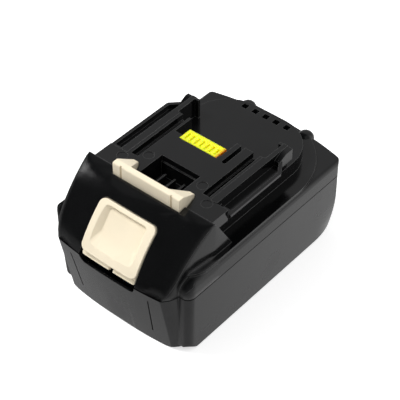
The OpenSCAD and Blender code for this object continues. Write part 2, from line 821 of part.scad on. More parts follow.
module upper_hollow() {
    difference() {
        fender(case_wall);
        translate([0, 0, shelf_z - roof_t]) linear_extrude(shelf_z) square(2 * pack_span, center = true);
    }
    room_x = half_w - side_draft - case_wall - 0.3;
    translate([0, 0, parting_z - 1]) linear_extrude(shelf_z - roof_t - parting_z + 1) intersection() {
        body_plan(case_wall);
        translate([-room_x, fender_y + fender_nose_r - 1.3]) square([2 * room_x, 2 * block_l]);
    }
    hump(slope_wall);
    translate([0, 0, parting_z]) linear_extrude(seam + 2) nose_plan(case_wall);
    seam_ring(tongue_inset - 0.2, tongue_h + 0.2);
    translate([0, 0, shelf_z - roof_t - 1]) linear_extrude(deck_rise + 1) deck_plan(case_wall);
    inner_x = rail_in + 1.6;
    mid_x = slot_x - part_gap;
    translate([-inner_x, ridge_y - 6, deck_z - roof_t - 1])
        cube([2 * inner_x, plug_back - plug_d - 2 - ridge_y + 6, plate_rise - deck_rise + 1]);
    both_sides() translate([mid_x, ridge_y, deck_z - roof_t - 1])
        cube([inner_x - mid_x, plate_back - case_wall - ridge_y, plate_rise - deck_rise + 1]);
}

// Outline of the hook, seen from above
module hook_plan(grow = 0) {
    h = hook_w / 2 + grow;
    translate([-h, hook_front - grow]) square([2 * h, hook_t + 2 * grow]);
    both_sides() polygon([
        [h, hook_back - eps], [h, hook_back + 1], [wedge_tip_x + wedge_tip / 2 + grow, wedge_tip_y + grow],
        [wedge_tip_x - wedge_tip / 2 - grow, wedge_tip_y + grow],
        [h - wedge_root - 2 * grow, hook_back - eps]]);
}

module upper_case() color(case_black) {
    difference() {
        union() {
            difference() {
                upper_outer();
                upper_hollow();
            }
            translate([-pocket_w / 2 - pocket_wall, pocket_y - pocket_wall, pocket_floor - roof_t])
                cube([pocket_w + 2 * pocket_wall, pocket_l + 2 * pocket_wall, plate_z - pocket_floor]);
            both_sides() translate([slot_x - slot_wall, slot_front - slot_wall, collar_z])
                cube([slot_w + 2 * slot_wall, slot_l, plate_z - collar_z]);
            intersection() {
                union() {
                    upper_outer();
                    hump();
                }
                at_screws() translate([0, 0, parting_z + seam])
                    cylinder(r = column_r, h = shelf_z - parting_z);
            }
            both_sides() intersection() {
                hump();
                translate([front_screw_x - 0.8, nose_y, parting_z + 2])
                    cube([1.6, front_screw_y - nose_y, shelf_z - parting_z - 2]);
            }
        }
        hook_pocket();
        both_sides() plate_marks();
        button_window();
        translate([0, 0, web_z + 2]) linear_extrude(plate_z) hook_plan(latch_clear);
        at_screws() translate([0, 0, parting_z])
            cylinder(d = screw_d - thread_clear, h = shelf_z - parting_z);
        both_sides() terminal_slot();
        connector_opening();
        key_slot();
        vents();
    }
}

// Pocket behind the hook, with a ledge in its rear wall and three ribs on its floor
module hook_pocket() {
    difference() {
        translate([-pocket_w / 2, pocket_y, pocket_floor]) cube([pocket_w, pocket_l, plate_rise]);
        translate([-pocket_w, pocket_y + pocket_l - ledge_w, pocket_floor])
            cube([2 * pocket_w, pocket_l, plate_z - slot_depth - pocket_floor]);
        for (k = [-1:1])
            translate([k * rib_pitch - rib_t / 2, pocket_y - rib_t, pocket_floor - 1])
                cube([rib_t, rib_t + rib_l, rib_top - pocket_floor + 1]);
    }
}

// Shallow round marks in the top plate, right side
module plate_marks() {
    mark_depth = 0.4;
    front = [rail_in + 1, slot_front - slot_wall - mark_d / 2, plate_z - mark_depth];
    rear = [(pocket_w / 2 + slot_x) / 2 + 0.6, pocket_y + pocket_l - 0.75 * mark_d, plate_z - mark_depth];
    for (place = [front, rear]) translate(place) cylinder(d = mark_d, h = 1);
}

// Long slot over a terminal, open to the rear, with a ledge down both sides
module terminal_slot() {
    translate([slot_x, slot_front, plate_z - slot_depth]) cube([slot_w, slot_l + 1, plate_rise]);
    translate([slot_x + ledge_w, slot_front + ledge_w, deck_z + 1])
        cube([slot_w - 2 * ledge_w, slot_l + 1, plate_rise]);
}

// Place of the signal connector, open to the rear deck
module connector_opening() {
    w = plug_w + 2 * plug_clear;
    translate([plug_x - w / 2, plug_back - plug_d - plug_clear, deck_z]) cube([w, slot_l, plate_rise]);
    left = slot_x - slot_wall;
    translate([-left, plug_back - notch_l, deck_z])
        cube([left + plug_x + w / 2 + notch_w, slot_l, plate_rise]);
    translate([plug_x - w / 2, plug_back - plug_d - plug_clear, board_top])
        cube([w, plug_d + 2 * plug_clear, plate_rise]);
}

// Key slot right of the connector, with a round front end and open to the rear
module key_slot() {
    translate([plug_x + plug_w / 2 + key_gap, plate_back - key_l + key_w / 2, plate_z - key_depth])
        linear_extrude(2 * key_depth) union() {
            circle(d = key_w);
            translate([-key_w / 2, 0]) square([key_w, key_l]);
        }
}

// Row of vent holes along the rear edge of the deck
module vents() {
    for (k = [-2:2])
        translate([k * vent_pitch - vent_w / 2, vent_y - vent_w / 2, deck_z - 2 * roof_t])
            cube([vent_w, vent_w, 3 * roof_t]);
}

// Ivory latch: finger button, guide plate, web, hook and spring cups in one moulding
module release_latch() color(ivory) {
    difference() {
        union() {
            intersection() {
                slope_form(-button_rise);
                slope_block(button_w, -button_l / 2, button_l / 2, -guide_t - 3, 8, button_r);
            }
            intersection() {
                difference() {
                    slope_form(slope_r - guide_r);
                    slope_form(slope_r - guide_r + guide_t);
                }
                slope_block(2 * guide_half, -button_l / 2 + 4, button_l / 2 + 3, -8, 8, 1);
            }
            intersection() {
                difference() {
                    slope_form(lip_drop);
                    slope_form(lip_drop + lip_t);
                }
                slope_block(button_w - 1, -button_l / 2 - lip_l, 0, -8, 8, 1);
            }
            intersection() {
                slope_form(slope_r - guide_r);
                union() {
                    translate([-button_w / 2 + 3, nose_y, web_z])
                        cube([button_w - 6, hook_back - nose_y, web_t]);
                    both_sides() translate([spring_x, spring_y, cup_bottom])
                        cylinder(r = spring_cup_r, h = web_z - cup_bottom + 1);
                }
            }
            translate([-button_w / 2 + 3, hook_front, web_z])
                cube([button_w - 6, hook_t, plate_z - web_z]);
            hook();
        }
        finger_dish();
        both_sides() {
            translate([spring_x, spring_y, cup_bottom - 1])
                cylinder(r = spring_d / 2 + 0.25, h = cup_depth + 1);
            translate([hook_w / 2 - 5, hook_front - 1, plate_z - 1]) cube([0.8, 1.6, hook_h + 2]);
        }
        translate([1.8, 0, 0]) slope_block(2.4, -button_l / 2 - 4, -button_l / 2 - 0.4, -8, 8, 0.4);
    }
}

// Cross bar with two wedges behind it, and the shoulders that stop it under the plate
module hook() {
    root_z = plate_z - roof_t - 3;
    intersection() {
        translate([0, 0, root_z]) linear_extrude(hook_top - root_z) hook_plan();
        along_x(pack_span) polygon(rounded([
            [hook_front, root_z, 0], [wedge_tip_y, root_z, 0], [wedge_tip_y, plate_z + 1.2, 0.6],
            [hook_back, hook_top, 0.6], [hook_front, hook_top, 0.6]]));
    }
    both_sides() translate([hook_w / 2 - 3, hook_front, root_z])
        cube([stop_w + 3, hook_t, stop_t]);
}

// Scooped recess in the button: deep at the top, running out at the bottom
module finger_dish() {
    side_rim = 2.6;
    end_rim = 1.3;
    w = button_w - 2 * side_rim;
    low = -button_l / 2 + end_rim;
    high = button_l / 2 - end_rim;
    on_slope() hull() {
        translate([0, 0, button_rise + 0.4]) linear_extrude(0.2) dish_outline(w, low, high, 2);
        translate([0, 0, button_rise - dish_depth]) linear_extrude(0.2)
            dish_outline(w - 6, low + 9, high - 1.4, 1.5);
    }
}
module dish_outline(w, low, high, r) {
    polygon(rounded([[-w / 2, low, r], [w / 2, low, r], [w / 2, high, r], [-w / 2, high, r]]));
}

// Return spring: one wire wound into a helix, with its ends on the seat and in the cup
spring_rings = 8;
wire_sides = 6;
function spring_point(k) =
    let (a = 360 * k / spring_rings, rise = spring_top - post_z - wire_d - 2 * part_gap)
    [(spring_d - wire_d) / 2 * cos(a), (spring_d - wire_d) / 2 * sin(a),
     post_z + part_gap + wire_d / 2 + rise * k / (spring_turns * spring_rings)];
function wire_ring(k) =
    let (a = 360 * k / spring_rings)
    [for (s = [0:wire_sides - 1])
        let (b = 360 * s / wire_sides)
        spring_point(k) + wire_d / 2 * [cos(b) * cos(a), cos(b) * sin(a), sin(b)]];
module coil_spring() {
    rings = spring_turns * spring_rings;
    points = [for (k = [0:rings]) each wire_ring(k)];
    walls = [for (k = [0:rings - 1]) for (s = [0:wire_sides - 1])
        let (t = (s + 1) % wire_sides, a = k * wire_sides, b = a + wire_sides)
        each [[a + s, a + t, b + s], [a + t, b + t, b + s]]];
    caps = [for (s = [1:wire_sides - 2])
        each [[0, s + 1, s], [rings * wire_sides, rings * wire_sides + s, rings * wire_sides + s + 1]]];
    polyhedron(points, concat(walls, caps));
}
coil_gap = (spring_top - post_z - wire_d - 2 * part_gap) / spring_turns - wire_d;
echo(coil_gap = coil_gap);

module latch_spring(side) color(steel) translate([side * spring_x, spring_y, 0]) coil_spring();

// Screws with a round head, each in its well
module case_screws() color(steel) at_screws() {
    length = shelf_z - screw_cover - screw_seat_z;
    translate([0, 0, screw_seat_z - screw_head_h]) difference() {
        cylinder(d = screw_head_d, h = screw_head_h);
        translate([0, 0, -eps]) cylinder(d = drive_w, h = drive_depth, $fn = 6);
    }
    translate([0, 0, screw_seat_z - eps]) cylinder(d = screw_d - thread_clear, h = length);
}

// Yellow housing with a row of slits
plug_slits = 7;
slit_l = plug_d - slit_front - slit_back;
slit_z = deck_z + slit_floor;
module signal_connector() color(bright_yellow) {
    translate([plug_x, plug_back, 0]) difference() {
        translate([-plug_w / 2, -plug_d, board_top]) cube([plug_w, plug_d, plate_z - board_top]);
        for (k = [0:plug_slits - 1])
            translate([(k - (plug_slits - 1) / 2) * plug_pitch - slit_w / 2, -plug_d + slit_front, slit_z])
                cube([slit_w, slit_l, plate_rise]);
    }
}
module signal_contacts() color(nickel) {
    for (k = [0:plug_slits - 1])
        translate([plug_x + (k - (plug_slits - 1) / 2) * plug_pitch - contact_t / 2,
                   plug_back - plug_d + slit_front + part_gap, slit_z])
            cube([contact_t, slit_l - 2 * part_gap, contact_h]);
}

// Forked clip that grips a terminal blade, on its foot
module terminal_clip() {
    mid = slot_x + slot_w / 2;
    foot = slot_w / 2;
    grip = 0.5;
    mouth = foot - leaf_t;
    top = collar_z - 2 * part_gap;
    waist = top - 3.5;
    knee = board_top + 4;
    side = [
        [foot, board_top], [foot, knee], [grip + leaf_t, waist], [mouth + leaf_t, top],
        [mouth, top], [grip, waist], [foot - leaf_t, knee], [foot - leaf_t, board_top + leaf_t]];
    other = [for (k = [len(side) - 1:-1:0]) [-side[k][0], side[k][1]]];
    translate([mid, plate_back - case_wall - 1 - clip_l / 2, 0]) along_y(clip_l) polygon(concat(side, other));
}
module positive_terminal() color(nickel) terminal_clip();
module negative_terminal() color(nickel) mirror([1, 0, 0]) terminal_clip();

// Board on the holders' posts
module at_board_screws() {
    both_sides() for (s = [-1, 1])
        translate([board_screw_x, board_y + s * board_screw_y, 0]) children();
}
module control_board() color(board_green) difference() {
    translate([0, board_y, board_z]) linear_extrude(board_t) polygon(rounded([
        [-board_w / 2, -board_l / 2, 2], [board_w / 2, -board_l / 2, 2],
        [board_w / 2, board_l / 2, board_rear_r], [-board_w / 2, board_l / 2, board_rear_r]]));
    at_board_screws() translate([0, 0, board_z - 1])
        cylinder(d = board_screw_d + 2 * part_gap, h = board_t + 2);
}
module controller_chip() color([0.12, 0.12, 0.13])
    translate([-chip_w / 2, board_y - chip_setback, board_top]) cube([chip_w, chip_w, chip_h]);
module board_fuse() color(paper)
    translate([fuse_x, board_y - fuse_setback, board_top]) cube([fuse_w, fuse_l, fuse_h]);
module board_screws() color(steel) at_board_screws() {
    translate([0, 0, board_top]) cylinder(d = board_head_d, h = board_head_h);
    translate([0, 0, board_z - board_grip]) cylinder(d = board_screw_d, h = board_grip + board_t + eps);
}
module temperature_sensor() color(ivory) {
    bead = 2.4;
    translate([0, column_y(2), cell_z + cell_pitch + cell_d / 2]) {
        translate([-bead, -bead / 2, 0]) cube([2 * bead, bead, board_z - cell_z - cell_pitch - cell_d / 2]);
    }
}

// Comb that spaces the cells at one end, with posts for the board on short bars
board_post_r = 2;
module cell_holder() {
    x0 = cell_l / 2 - holder_setback - holder_depth;
    y0 = block_front - holder_over;
    difference() {
        union() {
            translate([x0, y0, holder_bottom])
                cube([holder_depth, block_l + 2 * holder_over, holder_top - holder_bottom]);
            for (s = [-1, 1]) translate([board_screw_x, board_y + s * board_screw_y, holder_top - eps]) {
                cylinder(r = board_post_r, h = board_z - holder_top + eps);
                bar_l = x0 + holder_depth / 2 - board_screw_x;
                translate([0, -board_post_r, 0]) cube([bar_l, 2 * board_post_r, board_z - holder_top + eps]);
            }
        }
        for (i = [0:columns * layers - 1])
            translate(cell_place(i)) rotate([0, 90, 0]) cylinder(d = cell_d + 2 * cell_clear, h = cell_l);
        for (s = [-1, 1]) translate([board_screw_x, board_y + s * board_screw_y, board_z - board_grip])
            cylinder(d = board_screw_d, h = board_grip + 1);
    }
}
module right_cell_holder() color(holder_grey) cell_holder();
module left_cell_holder() color(holder_grey) mirror([1, 0, 0]) cell_holder();

// One cell lying along X, its cap end towards the side given
module cell(i) {
    column = floor(i / layers);
    side = column % 2 == 0 ? 1 : -1;
    r = cell_d / 2;
    color(cell_blue) translate(cell_place(i)) rotate([0, side * 90, 0]) translate([0, 0, -cell_l / 2])
        rotate_extrude() polygon([
            [0, 0], [r - 0.6, 0], [r, 0.6], [r, cell_l - 4.6], [r - 0.7, cell_l - 4.1],
            [r - 0.7, cell_l - 3.5], [r, cell_l - 3], [r, cell_l - 1], [r - 0.5, cell_l - 0.6], [r - 2, cell_l - 0.6],
            [r - 2.2, cell_l - 1.2], [4.2, cell_l - 1.2], [3.8, cell_l], [0, cell_l]]);
}

// Strip that links the cells of the columns given, welded to the cell ends
module strip(from, to, side) {
    x = cell_l / 2;
    low = cell_z - link_w / 2;
    high = cell_z + cell_pitch + link_w / 2;
    tab_w = 3;
    tab_x = board_w / 2 - 5;
    tab_y = (column_y(from) + column_y(to)) / 2;
    color(nickel) mirror([side < 0 ? 1 : 0, 0, 0]) {
        for (c = [from:to])
            translate([x, column_y(c) - link_w / 2, low]) cube([link_t, link_w, high - low]);
        translate([x, column_y(from), (low + high - link_w) / 2])
            cube([link_t, max(eps, column_y(to) - column_y(from)), link_w]);
        translate([x, tab_y - tab_w / 2, (low + high) / 2])
            cube([link_t, tab_w, holder_top + link_t - (low + high) / 2]);
        translate([tab_x, tab_y - tab_w / 2, holder_top]) cube([x + link_t - tab_x, tab_w, link_t]);
        translate([tab_x, tab_y - tab_w / 2, holder_top]) cube([link_t, tab_w, board_z - holder_top]);
    }
}
module insulator() color(paper)
    translate([cell_l / 2 + link_t, block_front + sheet_inset, cell_z - cell_d / 2 + sheet_inset])
        cube([sheet_t, block_l - 2 * sheet_inset, cell_pitch + cell_d - 2 * sheet_inset]);
module right_insulator() insulator();
module left_insulator() mirror([1, 0, 0]) insulator();
module foam_pads() color([0.2, 0.2, 0.2]) both_sides()
    translate([cell_l / 2 - holder_setback - holder_depth + pad_margin, block_front + pad_inset, floor_t])
        cube([holder_depth - 2 * pad_margin, block_l - 2 * pad_inset, pad_t]);

lower_case();
upper_case();
release_latch();
latch_spring(-1);  // left_latch_spring
latch_spring(1);  // right_latch_spring
case_screws();
signal_connector();
signal_contacts();
positive_terminal();
negative_terminal();
control_board();
controller_chip();
board_fuse();
board_screws();
temperature_sensor();
left_cell_holder();
right_cell_holder();
left_insulator();
right_insulator();
foam_pads();
strip(0, 1, 1);  // link_strip_1
strip(2, 3, 1);  // link_strip_2
strip(1, 2, -1);  // link_strip_3
strip(3, 4, -1);  // link_strip_4
strip(4, 4, 1);  // positive_strip
strip(0, 0, -1);  // negative_strip
for (i = [0:columns * layers - 1])
    cell(i);
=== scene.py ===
# %% [markdown]
# # A slide-on battery pack for cordless tools
# The CAD model already holds every piece at its real size. This lesson loads it, sets up the camera and the light
# of the photograph, gives each moulding its finish, and adds what is too fine for the CAD model.

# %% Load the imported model
import bmesh
import bpy
import json
import math
from mathutils import Matrix, Vector


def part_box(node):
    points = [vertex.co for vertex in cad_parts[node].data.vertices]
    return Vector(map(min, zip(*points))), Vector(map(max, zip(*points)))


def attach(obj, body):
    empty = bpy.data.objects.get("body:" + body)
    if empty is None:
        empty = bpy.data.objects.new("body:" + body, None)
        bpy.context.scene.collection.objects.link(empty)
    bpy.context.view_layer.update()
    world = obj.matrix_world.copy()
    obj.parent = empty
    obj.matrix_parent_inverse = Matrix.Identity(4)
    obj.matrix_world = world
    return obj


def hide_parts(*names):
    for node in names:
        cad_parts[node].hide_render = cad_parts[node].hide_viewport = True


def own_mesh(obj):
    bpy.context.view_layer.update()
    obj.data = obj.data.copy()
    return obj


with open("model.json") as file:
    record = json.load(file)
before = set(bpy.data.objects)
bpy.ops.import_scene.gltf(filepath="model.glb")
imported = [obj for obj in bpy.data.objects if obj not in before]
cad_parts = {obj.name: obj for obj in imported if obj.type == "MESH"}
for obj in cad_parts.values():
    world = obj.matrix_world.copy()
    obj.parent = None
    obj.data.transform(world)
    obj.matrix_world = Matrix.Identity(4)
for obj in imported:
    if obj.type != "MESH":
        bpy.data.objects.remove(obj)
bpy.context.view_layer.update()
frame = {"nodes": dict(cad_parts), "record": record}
nodes = frame["nodes"]
slot_of = {row["node"]: row["material_slot"] for row in frame["record"]["subparts"]}
mm = 0.001

# %% [markdown]
# ## Where the pack's main lines are
# Finishes change along a few lines of the real case, most of all the parting line between its two mouldings. They
# are read from the CAD boxes, so a pattern stays on its line if a size changes.

# %% Main lines of the case
lower_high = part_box("lower_case")[1]
upper_low, upper_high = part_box("upper_case")
seam_gap = 0.25 * mm
parting = upper_low.z - seam_gap / 2
print("case is", round((upper_high.x - upper_low.x) / mm, 1), "mm wide, parted at", round(parting / mm, 2), "mm")

# %% [markdown]
# ## The camera
# The photograph was taken from above the right front corner with a long lens. The angles and the distance were found
# by lining up corners of the case with the picture, so they are written here as plain numbers.

# %% Camera
def link_new(obj):
    bpy.context.scene.collection.objects.link(obj)
    return obj

azimuth, elevation = math.radians(40.2646), math.radians(42.8786)
stand = Vector((0.29469, -0.34668, 0.45531))
toward_camera = Vector((math.sin(azimuth) * math.cos(elevation), -math.cos(azimuth) * math.cos(elevation),
                        math.sin(elevation)))
camera_right = Vector((math.cos(azimuth), math.sin(azimuth), 0))
camera_up = toward_camera.cross(camera_right)
axes = Matrix((camera_right, camera_up, toward_camera)).transposed().to_4x4()
lens = bpy.data.cameras.new("photo_lens")
lens.lens, lens.sensor_width, lens.clip_start, lens.clip_end = 126.55, 36, 0.01, 20
camera = link_new(bpy.data.objects.new("photo_camera", lens))
camera.matrix_world = Matrix.Translation(stand) @ axes
bpy.context.scene.camera = camera
print("camera at", [round(v, 3) for v in stand])

# %% [markdown]
# ## Helpers for node trees
# The floor, the room, every finish, the springs and the screws are node trees. A tree could be wired line by line,
# but these short functions add a node, wire it and hand back its result, so that a tree reads like a formula.

# %% Helpers for node trees
def part(tree, kind, **values):
    item = tree.nodes.new(kind)
    for name, value in values.items():
        setattr(item, name, value)
    return item

def feed(tree, socket, value):
    if hasattr(value, "is_linked"):
        tree.links.new(value, socket)
    else:
        socket.default_value = value

def join(tree, item, **wires):
    for name, value in wires.items():
        feed(tree, item.inputs[name.replace("_", " ")], value)
    return item.outputs[0]

def calc(tree, operation, first, second=0.0):
    item = part(tree, "ShaderNodeMath", operation=operation)
    feed(tree, item.inputs[0], first)
    feed(tree, item.inputs[1], second)
    return item.outputs[0]

def span(tree, value, low, high, to_low, to_high, **values):
    item = part(tree, "ShaderNodeMapRange", **values)
    return join(tree, item, Value=value, From_Min=low, From_Max=high, To_Min=to_low, To_Max=to_high)

def split_up(tree, where):
    item = part(tree, "ShaderNodeSeparateXYZ")
    tree.links.new(where, item.inputs[0])
    return item.outputs

def pick(tree, amount, first, second, output):
    item = part(tree, "ShaderNodeMixShader")
    for socket, value in zip(item.inputs, (amount, first, second)):
        tree.links.new(value, socket)
    tree.links.new(item.outputs[0], tree.nodes[output].inputs["Surface"])

print("helpers for any tree:", ", ".join(tool.__name__ for tool in (part, feed, join, calc, span, split_up, pick)))

# %% [markdown]
# ## The studio
# A pale floor, a soft white room and two broad lamps light the pack. The room is plain white for the camera and
# dimmer as a light, so colours come out about as written. Black plastic shows little but reflections, so what it
# mirrors matters most.
#
# The floor that the plastic mirrors is shaded in front, as it is under a studio table's edge, and brighter far out on
# the right.

# %% Floor
white = (1, 1, 1, 1)

def seen_ray(tree):
    ray = part(tree, "ShaderNodeLightPath").outputs
    seen_or_mirrored = calc(tree, "MAXIMUM", ray["Is Camera Ray"], ray["Is Glossy Ray"])
    return calc(tree, "MAXIMUM", seen_or_mirrored, ray["Is Transmission Ray"])

floor_paint = bpy.data.materials.new("pale_floor")
floor_paint.use_nodes = True
tree = floor_paint.node_tree
plain = tree.nodes["Principled BSDF"]
floor_glow = 0.62
join(tree, plain, Base_Color=(0.86, 0.86, 0.86, 1), Roughness=0.9, Emission_Color=white,
     Emission_Strength=calc(tree, "MULTIPLY", seen_ray(tree), floor_glow))
place = split_up(tree, part(tree, "ShaderNodeNewGeometry").outputs["Position"])
front_shade = span(tree, place["Y"], -0.14, 0.1, 0.34, 1.0)
side_glow = span(tree, place["X"], 0.12, 0.5, 0.0, 0.8)
mirrored = join(tree, part(tree, "ShaderNodeEmission"), Strength=calc(tree, "ADD", front_shade, side_glow))
pick(tree, part(tree, "ShaderNodeLightPath").outputs["Is Glossy Ray"], plain.outputs[0], mirrored, "Material Output")

half = 4
sheet = bpy.data.meshes.new("studio_floor")
sheet.from_pydata([(-half, -half, 0), (half, -half, 0), (half, half, 0), (-half, half, 0)], [], [(0, 1, 2, 3)])
sheet.materials.append(floor_paint)
floor = link_new(bpy.data.objects.new("studio_floor", sheet))
floor.location = (0, 0, -0.1 * mm)
print("floor", 2 * half, "m wide")

# %% [markdown]
# The room that the plastic mirrors has a pale wall behind the pack, brightest at the back right, a dimmer wall to the
# right, and is dark to the front left and overhead.

# %% Room
room = bpy.data.worlds.new("white_room")
bpy.context.scene.world = room
room.use_nodes = True
tree = room.node_tree
soft = tree.nodes["Background"]
join(tree, soft, Color=white, Strength=0.4)
toward = split_up(tree, part(tree, "ShaderNodeTexCoord").outputs["Generated"])
front_level = span(tree, toward["X"], -0.05, 0.35, 0.04, 0.35)
back_level = span(tree, toward["X"], 0.3, 0.75, 0.5, 1.2)
walls = span(tree, toward["Y"], 0.0, 0.5, front_level, back_level, interpolation_type="SMOOTHSTEP")
level = calc(tree, "MAXIMUM", part(tree, "ShaderNodeLightPath").outputs["Is Camera Ray"], walls)
shown = join(tree, part(tree, "ShaderNodeBackground"), Color=white, Strength=level)
pick(tree, seen_ray(tree), soft.outputs[0], shown, "World Output")
bpy.context.scene.view_settings.view_transform = "Standard"
print("room lights at", round(soft.inputs["Strength"].default_value, 2))

# %% [markdown]
# Two broad lamps light the pack without being mirrored, since their mirror image would burn out the black slope. One
# small lamp is only mirrored, and gives the slope its one bright spark.

# %% Lamps
def lamp(name, place, watts, size):
    light = bpy.data.lights.new(name, "AREA")
    light.energy, light.size = watts, size
    obj = link_new(bpy.data.objects.new(name, light))
    obj.location = place
    obj.rotation_euler = (Vector((0, 0, 0.03)) - Vector(place)).to_track_quat("-Z", "Y").to_euler()
    return obj

broad_lamps = [lamp("key_lamp", (-0.62, -0.42, 1.27), 16.2, 0.4), lamp("fill_lamp", (0.8, 0.4, 1.0), 4, 0.9)]
for broad in broad_lamps:
    broad.visible_glossy = False
spark = lamp("spark_lamp", (-1.2, -0.5, 0.78), 0.9, 0.24)
spark.visible_diffuse = False
print("lamps", {each.name: round(each.data.energy, 1) for each in (*broad_lamps, spark)})

# %% [markdown]
# ## Finishes
# Moulded plastic is never one flat colour. Each finish here has three layers: a fine grain that breaks up the gloss,
# a slow drift in roughness from handling, and edges rounded by the shader and lighter: partly wear, partly painted
# highlight.
# The ends of the front hump are rounded more than other edges. Along the seam the black mouldings are painted darker
# and lose their shine, a painted shade standing in for the shadow inside the seam.

# %% Layers of a finish
hump_side, hump_back = (19 * mm, 24 * mm), (-30 * mm, -34 * mm)
seam_band = (0.2 * mm, 0.45 * mm)
# Colour of the painted shade line along the seam.
seam_shade_colour = (0.002, 0.002, 0.002)

def own_place(tree):
    return part(tree, "ShaderNodeTexCoord").outputs["Object"]

def noise(tree, where, scale, detail):
    return join(tree, part(tree, "ShaderNodeTexNoise"), Vector=where, Scale=scale, Detail=detail)

def blend(tree, amount, first, second):
    item = part(tree, "ShaderNodeMix", data_type="RGBA")
    tree.links.new(amount, item.inputs["Factor"])
    for name, value in (("A", first), ("B", second)):
        socket = next(s for s in item.inputs if s.name == name and s.type == "RGBA")
        feed(tree, socket, value if hasattr(value, "is_linked") else (*value, 1))
    return next(s for s in item.outputs if s.type == "RGBA")

def rounded(tree, radius):
    return join(tree, part(tree, "ShaderNodeBevel", samples=6), Radius=radius)

def rounded_more_at_hump(tree, where, rounding, soft_ends):
    place = split_up(tree, where)
    aside = span(tree, calc(tree, "ABSOLUTE", place["X"]), *hump_side, 0, 1)
    ahead = span(tree, place["Y"], *hump_back, 0, 1)
    return rounded(tree, span(tree, calc(tree, "MULTIPLY", aside, ahead), 0, 1, rounding, soft_ends))

# Edges take a lighter colour: partly real wear, partly a painted highlight along the rounded edges.
def worn_and_highlit_edges(tree, hue, slow, rounding, edge_wear_and_highlight):
    turn = part(tree, "ShaderNodeVectorMath", operation="DOT_PRODUCT")
    tree.links.new(rounded(tree, rounding), turn.inputs[0])
    tree.links.new(part(tree, "ShaderNodeNewGeometry").outputs["Normal"], turn.inputs[1])
    edge = span(tree, turn.outputs["Value"], 0.99, 0.8, 0, 1)
    rubbed = span(tree, slow, 0.3, 0.7, 0.4, 1)
    return blend(tree, calc(tree, "MULTIPLY", edge, rubbed), hue, edge_wear_and_highlight)

# Painted shade: near the parting height the colour darkens and the shine drops, standing in for the seam's shadow.
def paint_seam_shade(tree, where, hue, shine, seam):
    off_seam = calc(tree, "ABSOLUTE", calc(tree, "SUBTRACT", split_up(tree, where)["Z"], seam))
    gloss = span(tree, off_seam, *seam_band, 0.1 * shine, shine)
    seam_shaded_hue = blend(tree, span(tree, off_seam, *seam_band, 1, 0), hue, seam_shade_colour)
    return seam_shaded_hue, gloss

print("seam dull over", round(2 * seam_band[1] / mm, 2), "mm")

# %% [markdown]
# One function builds every finish from these layers, so plastics and metals differ only in numbers.

# %% One function for all finishes
def finish(name, colour, rough, grain, grain_size, drift=0.06, edge_wear_and_highlight=None, rounding=0.35 * mm, metal=0.0, shine=0.5,
           tone=0.15, soft_ends=None, seam=None):
    paint = bpy.data.materials.new(name)
    paint.use_nodes = True
    tree = paint.node_tree
    where = own_place(tree)
    slow = noise(tree, where, 60, 4)
    fine = noise(tree, where, 1 / grain_size, 2)
    darker = [c * (1 - tone) for c in colour]
    lighter = [min(1, c * (1 + tone)) for c in colour]
    hue = blend(tree, span(tree, slow, 0.35, 0.65, 0, 1), darker, lighter)
    # Lighter edge colour: partly wear, partly painted highlight.
    if edge_wear_and_highlight:
        hue = worn_and_highlit_edges(tree, hue, slow, rounding, edge_wear_and_highlight)
    # Painted shade along the seam.
    if seam:
        hue, shine = paint_seam_shade(tree, where, hue, shine, seam)
    if soft_ends:
        edge_normal = rounded_more_at_hump(tree, where, rounding, soft_ends)
    else:
        edge_normal = rounded(tree, rounding)
    grainy = join(tree, part(tree, "ShaderNodeBump"), Strength=grain, Distance=0.1 * mm, Height=fine,
                  Normal=edge_normal)
    join(tree, tree.nodes["Principled BSDF"], Base_Color=hue, Metallic=metal, Specular_IOR_Level=shine,
         Roughness=span(tree, slow, 0.3, 0.7, rough - drift, rough + drift), Normal=grainy)
    return paint

upper_black = finish("upper_case_black", (0.004, 0.0042, 0.0045), 0.14, 0.03, 0.35 * mm, drift=0.04,
                     edge_wear_and_highlight=(0.12, 0.12, 0.12), shine=0.45, soft_ends=3 * mm, seam=parting)
lower_black = finish("lower_case_black", (0.011, 0.011, 0.0115), 0.24, 0.1, 0.4 * mm, edge_wear_and_highlight=(0.08, 0.08, 0.08),
                     shine=0.38, seam=parting)
ivory = finish("latch_ivory", (0.90, 0.80, 0.61), 0.38, 0.06, 0.6 * mm, rounding=0.5 * mm, tone=0.03)
yellow = finish("connector_yellow", (0.95, 0.92, 0.03), 0.4, 0.05, 0.6 * mm, rounding=0.2 * mm, tone=0.03)
nickel = finish("contact_nickel", (0.7, 0.67, 0.6), 0.28, 0.03, 0.3 * mm, metal=1)
steel = finish("screw_steel", (0.55, 0.56, 0.58), 0.3, 0.05, 0.2 * mm, metal=1)
spring_wire = finish("spring_wire", (0.62, 0.63, 0.65), 0.25, 0.03, 0.2 * mm, metal=1)
laminate = finish("board_laminate", (0.03, 0.16, 0.07), 0.35, 0.1, 0.8 * mm)
chip_black = finish("chip_black", (0.03, 0.03, 0.032), 0.5, 0.1, 0.2 * mm)
cream = finish("fuse_cream", (0.72, 0.64, 0.46), 0.5, 0.05, 0.4 * mm)
sensor_white = finish("sensor_white", (0.75, 0.7, 0.6), 0.4, 0.05, 0.4 * mm)
holder_grey = finish("holder_grey", (0.09, 0.095, 0.1), 0.5, 0.15, 0.4 * mm)
fibre_paper = finish("fibre_paper", (0.66, 0.58, 0.42), 0.8, 0.4, 0.5 * mm)
foam_black = finish("foam_black", (0.03, 0.03, 0.03), 0.95, 0.8, 0.6 * mm)
sleeve_blue = finish("cell_sleeve", (0.05, 0.17, 0.3), 0.3, 0.05, 1.5 * mm)
print("made", len([m for m in bpy.data.materials if m.use_nodes]), "materials")

# %% [markdown]
# The yellow of the signal connector is translucent, and light spreads inside it. Its right end, turned away from the
# light towards the dark slot, is painted orange as a painted shade.

# %% Light inside the connector and painted shade at its right end
def recolour(paint, amount, colour):
    tree = paint.node_tree
    socket = tree.nodes["Principled BSDF"].inputs["Base Color"]
    tree.links.new(blend(tree, amount, socket.links[0].from_socket, colour), socket)

